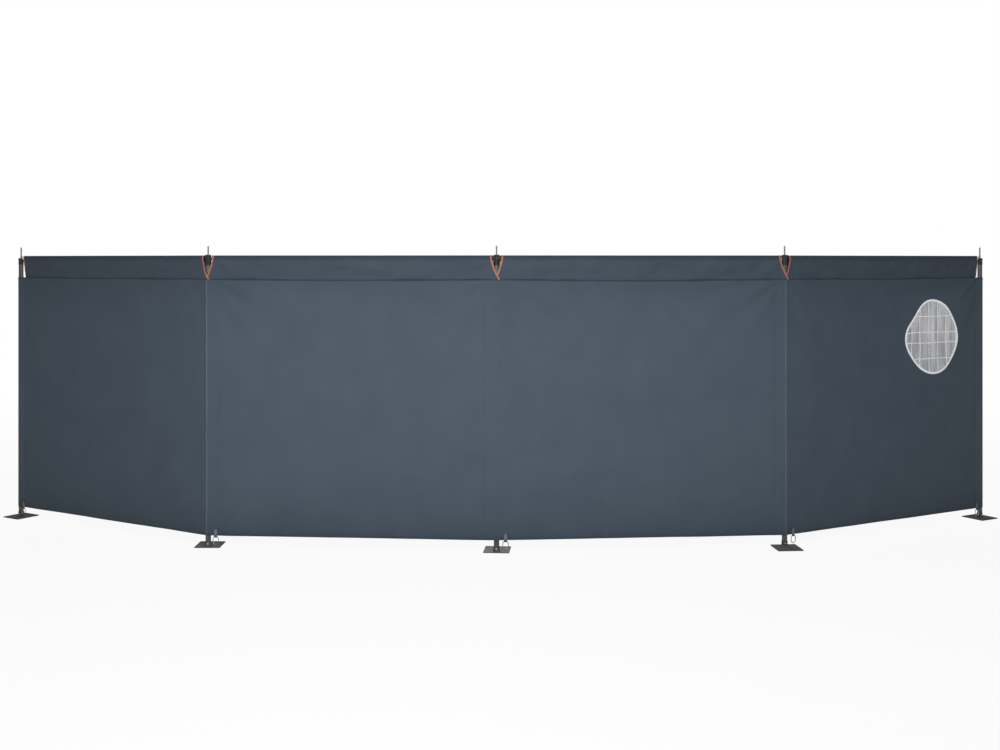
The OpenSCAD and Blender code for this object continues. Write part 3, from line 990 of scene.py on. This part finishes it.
def make_film():
    """The clear film, in rings of points from its edge to its middle"""
    rings = []
    for share in spread(1.0, 0.01, 0.028):
        places = [at_window(a, (window_radius(a) + PANE_LAP) * share) for a in WINDOW_TURNS]
        rings.append([in_bay(WINDOW_BAY, x, film_y(x, z), z) for x, z in places])
    shape = Shape()
    shape.loft(rings, open_start=True)
    made = thicken(shape.build("window_film", FILM, closed=False), FILM_T)
    return stand_for(made, BODY[WINDOW_BAY], "window_pane")


def scrim_lines():
    """The scrim's threads as lines of (x, z), a little uneven"""
    steps = spread(-SCRIM_REACH, SCRIM_REACH, 0.006)
    rows = [[(WINDOW.x + t, WINDOW.z + row + 0.003 * ripple(6 * t, row * 40, 95)) for t in steps]
            for row in SCRIM_ROWS]
    columns = [[(WINDOW.x + column + 0.005 * ripple(6 * t, column * 40, 96), WINDOW.z + t) for t in steps]
               for column in SCRIM_COLUMNS]
    return rows + columns


def in_window(x, z):
    """Whether a point lies inside the window's outline"""
    right, up = x - WINDOW.x, z - WINDOW.z
    return hypot(right, up) < window_radius(atan2(up, right))


def make_scrim():
    """The net of white threads on the film"""
    k = WINDOW_BAY
    shape = Shape()
    for line in scrim_lines():
        path = [(in_bay(k, x, film_y(x, z) - FILM_T / 2 - SCRIM_T, z), -BACK[k])
                for x, z in line if in_window(x, z)]
        if len(path) > 2:
            tape(shape, path, SCRIM_W, SCRIM_T, 6)
    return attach(shape.build("window_scrim", SCRIM), BODY[k])


def on_binding(a, off, proud):
    """A point on the binding at that turn, off its middle line and proud of the cloth"""
    x, z = at_window(a, window_radius(a) + off)
    return in_bay(WINDOW_BAY, x, cloth_y(WINDOW_BAY, x, z) - CLOTH_T / 2 - proud, z)


def make_binding():
    """The white tape sewn round the window"""
    k = WINDOW_BAY
    shape = Shape()
    path = [(on_binding(a, 0.0, BINDING_T * 0.4), -BACK[k]) for a in WINDOW_TURNS]
    tape(shape, path, BINDING_W, BINDING_T * 1.8, 12, True)
    made = shape.build("window_trim", BINDING)
    return stand_for(made, BODY[k], "window_binding")


def make_window_stitches():
    """Two rows of thread round the binding"""
    k = WINDOW_BAY
    shape = Shape()
    for off in (-BINDING_ROW, BINDING_ROW):
        for a in spread(0, 2 * pi, STITCH_PITCH / WINDOW_R)[:-1]:
            tangent = ALONG[k] * -sin(a) + UP * cos(a)
            sew(shape, on_binding(a, off, BINDING_T), tangent, -BACK[k])
    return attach(shape.build("window_stitches", SCRIM), BODY[k])


# Peg loops
# Painted shadow: the webbing below the hem is painted dark
WEBBING_PAINTED_SHADOW = 0.4
WEBBING_SIDES = 14
# Length and width of a stitch in a bar tack and in the box under it
TACK_STITCH = (0.0058, 0.0018)
BOX_STITCH = (0.0032, 0.0009)


def at_loop(i, x, y, z):
    """A point of peg loop i, from the middle of its ring's top bar"""
    return in_bay(LOOP_BAY[i], LOOP_X[i] + x, RING_Y + y, RING_Z + z)


def strap_line():
    """The webbing's run as (y, z): down its back, round the ring's top bar and up its front"""
    rise = HEM + WEBBING_RISE - RING_Z
    half = WEBBING_T / 2
    turn_r = WIRE_R + 0.0004 + half
    line = [(half, z) for z in spread(rise, 0.004, 0.002)]
    line += arc(0.0, 0.0, turn_r, radians(40), radians(-220), radians(13))
    return line + [(-half, z) for z in spread(0.004, rise, 0.002)]


def make_strap(i):
    """Webbing folded round the ring's top bar and sewn to the front of the hem"""
    line = strap_line()
    rings, uvs, tones = [], [], []
    length = 0.0
    for j, (y, z) in enumerate(line):
        y0, z0 = line[max(0, j - 1)]
        y1, z1 = line[min(len(line) - 1, j + 1)]
        along = Vector((y1 - y0, z1 - z0)).normalized()
        thick = Vector((-along.y, along.x)) * WEBBING_T * 0.42
        length += hypot(y - y0, z - z0)
        ring, ring_uvs = [], []
        for a in turns(WEBBING_SIDES):
            across = WEBBING_W / 2 * copysign(abs(cos(a)) ** 0.35, cos(a))
            lift = copysign(abs(sin(a)) ** 0.6, sin(a))
            ring.append(at_loop(i, across, y + thick.x * lift, z + thick.y * lift))
            ring_uvs.append((across, length))
        rings.append(ring)
        uvs.append(ring_uvs)
        # Below the hem the webbing takes its painted shadow tone
        lit = smooth((RING_Z + z - HEM) / 0.004)
        tones.append([WEBBING_PAINTED_SHADOW + (1 - WEBBING_PAINTED_SHADOW) * lit] * WEBBING_SIDES)
    shape = Shape()
    shape.loft(rings, uvs=uvs, tones=tones)
    made = shape.build(f"webbing_{i}", WEBBING)
    stand_for(made, BODY[LOOP_BAY[i]], f"peg_strap_{i}")


def make_tacks(i):
    """Bar tacks at the top of the webbing and the box of stitches under them"""
    k = LOOP_BAY[i]
    shape = Shape()
    top = HEM + WEBBING_RISE - RING_Z
    front = -WEBBING_T - 0.0001
    for x in (-WEBBING_W * 0.46, WEBBING_W * 0.46):
        for j in range(9):
            place = at_loop(i, x, front, top - 0.0075 + 0.0012 * j)
            sew(shape, place, ALONG[k], -BACK[k], *TACK_STITCH)
    for z in (top - 0.008, top - 0.022):
        for x in spread(-0.0055, 0.0055, 0.0036):
            sew(shape, at_loop(i, x, front, z), ALONG[k], -BACK[k], *BOX_STITCH)
    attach(shape.build(f"bar_tacks_{i}", DARK_THREAD), BODY[k])


def ring_line():
    """Centre line of the ring's wire, from the middle of its top bar"""
    bow_down = RING_H - 2 * WIRE_R - RING_BOW
    run = hypot(BAR_HALF, bow_down - RING_BEND)
    leg = atan2(bow_down - RING_BEND, BAR_HALF) - acos((RING_BOW - RING_BEND) / run)
    line = [(x, 0.0) for x in spread(-BAR_HALF, BAR_HALF, 0.003)]
    line += arc(BAR_HALF, -RING_BEND, RING_BEND, pi / 2, leg, 0.2)[1:]
    line += arc(0.0, -bow_down, RING_BOW, leg, -pi - leg, 0.12)
    return line + arc(-BAR_HALF, -RING_BEND, RING_BEND, pi - leg, pi / 2, 0.2)[:-1]


def make_ring(i):
    """The bent wire ring under the webbing"""
    shape = Shape()
    path = [(at_loop(i, x, 0.0, z), BACK[LOOP_BAY[i]]) for x, z in ring_line()]
    tape(shape, path, 2 * WIRE_R, 2 * WIRE_R, 14, True)
    made = shape.build(f"ring_{i}", RING_WIRE)
    stand_for(made, BODY[LOOP_BAY[i]], f"peg_ring_{i}")


# Feet
PLATE_T = 0.004
SOCKET_R = POLE_R + 0.0019
WELD_R = 0.0026
WELD_OFF = 0.0008
WELD_STEPS = 96
WELD_BEADS = 22
BEAD_SWELL = 0.16
BOLT_Z = 0.016
# Radius and height along the bolt's axis
WASHER = [(0.0052, 0), (0.0052, 0.0014), (0.0048, 0.0017), (0.0040, 0.0017)]
BOLT_HEAD = [(0.0038, 0.0016), (0.0037, 0.0028), (0.0031, 0.0038), (0.0020, 0.0044), (0.0008, 0.0046)]
NUT = [(0.0042, 0.0016), (0.0042, 0.0046), (0.0037, 0.0050), (0.0024, 0.0050), (0.0022, 0.0060)]
# The turn of each foot plate. The fourth stands back to front
FOOT_FACING = {1: TURN[1], 2: 0.0, 3: TURN[2], 4: pi + TURN[3], 5: TURN[4]}


def make_weld(i):
    """The weld bead round the socket of foot i"""
    shape = Shape()
    rings = []
    for a in turns(WELD_STEPS):
        outer = Vector((cos(a), sin(a), 0))
        middle = POLE[i] + outer * (SOCKET_R + WELD_OFF) + UP * (PLATE_T + WELD_OFF)
        radius = WELD_R * (1 + BEAD_SWELL * cos(WELD_BEADS * a))
        rings.append([middle + (outer * cos(b) + UP * sin(b)) * radius for b in turns(8)])
    shape.loft(rings, loop=True)
    made = shape.build(f"weld_{i}", FOOT_STEEL)
    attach(made, POLE_BODY[i])


def make_bolt(i):
    """The bolt through the socket and pole of foot i: its head in front and its nut behind"""
    ahead = Vector((sin(FOOT_FACING[i]), -cos(FOOT_FACING[i]), 0))
    ends = (("foot_bolt", ahead, BOLT_HEAD, 24, BOLT_STEEL), ("foot_nut", -ahead, NUT, 6, RING_WIRE))
    for name, axis, profile, sides, finish in ends:
        shape = Shape()
        base = POLE[i] + UP * BOLT_Z + axis * (SOCKET_R - 0.0010)
        lathe(shape, base, axis, WASHER)
        lathe(shape, base, axis, profile, sides)
        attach(shape.build(f"{name}_{i}", finish), POLE_BODY[i])


# Build
cloths = {k: make_cloth(k) for k in BAYS}
stitches = {k: [make_stitches(k), make_hem_stitches(k)] for k in BAYS}
pane = make_film()
window_pieces = [make_scrim(), make_binding(), make_window_stitches()]
for i in INNER_POLES:
    cover, cover_w = make_cover(i)
    seams = [make_seam_stitches(i), make_cover_hem(i)]
    make_notch_piping(i)
for i in POLES:
    sleeve, sleeve_w = make_sleeve(i)
    if i not in INNER_POLES:
        make_end_piping(i)
    make_strap(i)
    make_tacks(i)
    make_ring(i)
    make_weld(i)
    make_bolt(i)

# Finish of the CAD nodes that stay
FINISH = {"pole_": POLE_STEEL, "pole_cap_": BLACK_PLASTIC, "pole_pin_": PIN_STEEL,
          "foot_plate_": FOOT_STEEL, "top_rail_": RAIL_METAL, "rail_ends_": BLACK_PLASTIC}
for name, node in nodes.items():
    finish = FINISH.get(name.rstrip("0123456789"))
    if finish:
        node.data.materials.clear()
        node.data.materials.append(finish)

# Floor, light and camera
FLOOR_HALF = 60.0
# How white the camera sees the floor under the object, and the reach of that
FLOOR_WHITE = 0.92
FLOOR_REACH = 9
SOFT_LIGHT = 0.23


def seen_directly(tree):
    """1 where the camera, a reflection or the window sees the surroundings, 0 where they give light"""
    rays = put(tree, "LightPath").outputs
    direct = maths(tree, "MAXIMUM", rays["Is Camera Ray"], rays["Is Transmission Ray"])
    return maths(tree, "MAXIMUM", direct, rays["Is Glossy Ray"])


def mix_shaders(tree, amount, first, second, output):
    """Sends two shaders to an output, with that amount of the second"""
    mix = put(tree, "MixShader", None, amount, first.outputs[0], second.outputs[0])
    feed(tree, tree.nodes[output], Surface=mix.outputs[0])


def floor_material():
    """A floor that the camera sees nearly white, and that still takes shadows"""
    made, tree, bsdf = shader("floor")
    feed(tree, bsdf, Base_Color=(0.50, 0.50, 0.50, 1), Roughness=0.9)
    near = (1 / FLOOR_REACH, 1 / FLOOR_REACH, 1)
    where = put(tree, "Mapping", Vector=put(tree, "TexCoord").outputs["Object"], Scale=near)
    middle = put(tree, "TexGradient", {"gradient_type": "SPHERICAL"}, Vector=where.outputs["Vector"])
    share = put(tree, "MapRange", Value=middle.outputs["Fac"], From_Max=0.75, To_Min=1.0,
                To_Max=FLOOR_WHITE)
    white = put(tree, "Emission", Color=(1, 1, 1, 1), Strength=1.0)
    amount = maths(tree, "MULTIPLY", seen_directly(tree), share.outputs["Result"])
    mix_shaders(tree, amount, bsdf, white, "Material Output")
    return made


ground = Shape()
ground.grid([[Vector((x, y, 0)) for x in (-FLOOR_HALF, FLOOR_HALF)] for y in (-FLOOR_HALF, FLOOR_HALF)])
floor = ground.build("floor", floor_material(), closed=False)

world = bpy.data.worlds.new("studio")
bpy.context.scene.world = world
world.use_nodes = True
sky = world.node_tree
soft = sky.nodes["Background"]
feed(sky, soft, Color=(1, 1, 1, 1), Strength=SOFT_LIGHT)
white = put(sky, "Background", Color=(1, 1, 1, 1), Strength=1.0)
mix_shaders(sky, seen_directly(sky), soft, white, "World Output")


def lamp(name, place, target, size, power):
    """A round lamp of that width, in watts, turned to its target"""
    data = bpy.data.lights.new(name, "AREA")
    data.shape = "DISK"
    data.size = size
    data.energy = power
    made = show(name, data)
    made.location = place
    made.rotation_euler = (Vector(target) - Vector(place)).to_track_quat("-Z", "Y").to_euler()


lamp("key", (-0.4, -4.0, 2.9), (-0.3, 0, 0.8), 2.0, 218)
lamp("fill", (4.2, -3.0, 1.9), (2.4, 0.6, 0.8), 1.5, 11)
lamp("back", (-0.5, 6.0, 1.15), (0, 0.3, 0.7), 2.2, 240)

# In pixels of the photo: its frame, focal length, row of the horizon and middle column
FRAME_W, FRAME_H = 1000, 750
FOCAL_PX = 1318
HORIZON_PX = 260
MIDDLE_PX = 500.4
CAMERA_PLACE = (0.019, -6.49, 1.377 + HEM)
view = bpy.data.cameras.new("camera")
view.sensor_width = 36
view.lens = FOCAL_PX * view.sensor_width / FRAME_W
view.shift_x = (FRAME_W / 2 - MIDDLE_PX) / FRAME_W
view.shift_y = (HORIZON_PX - FRAME_H / 2) / FRAME_W
camera = show("camera", view)
camera.location = CAMERA_PLACE
camera.rotation_euler = (pi / 2, 0, 0)
bpy.context.scene.camera = camera
bpy.context.scene.view_settings.view_transform = "Standard"
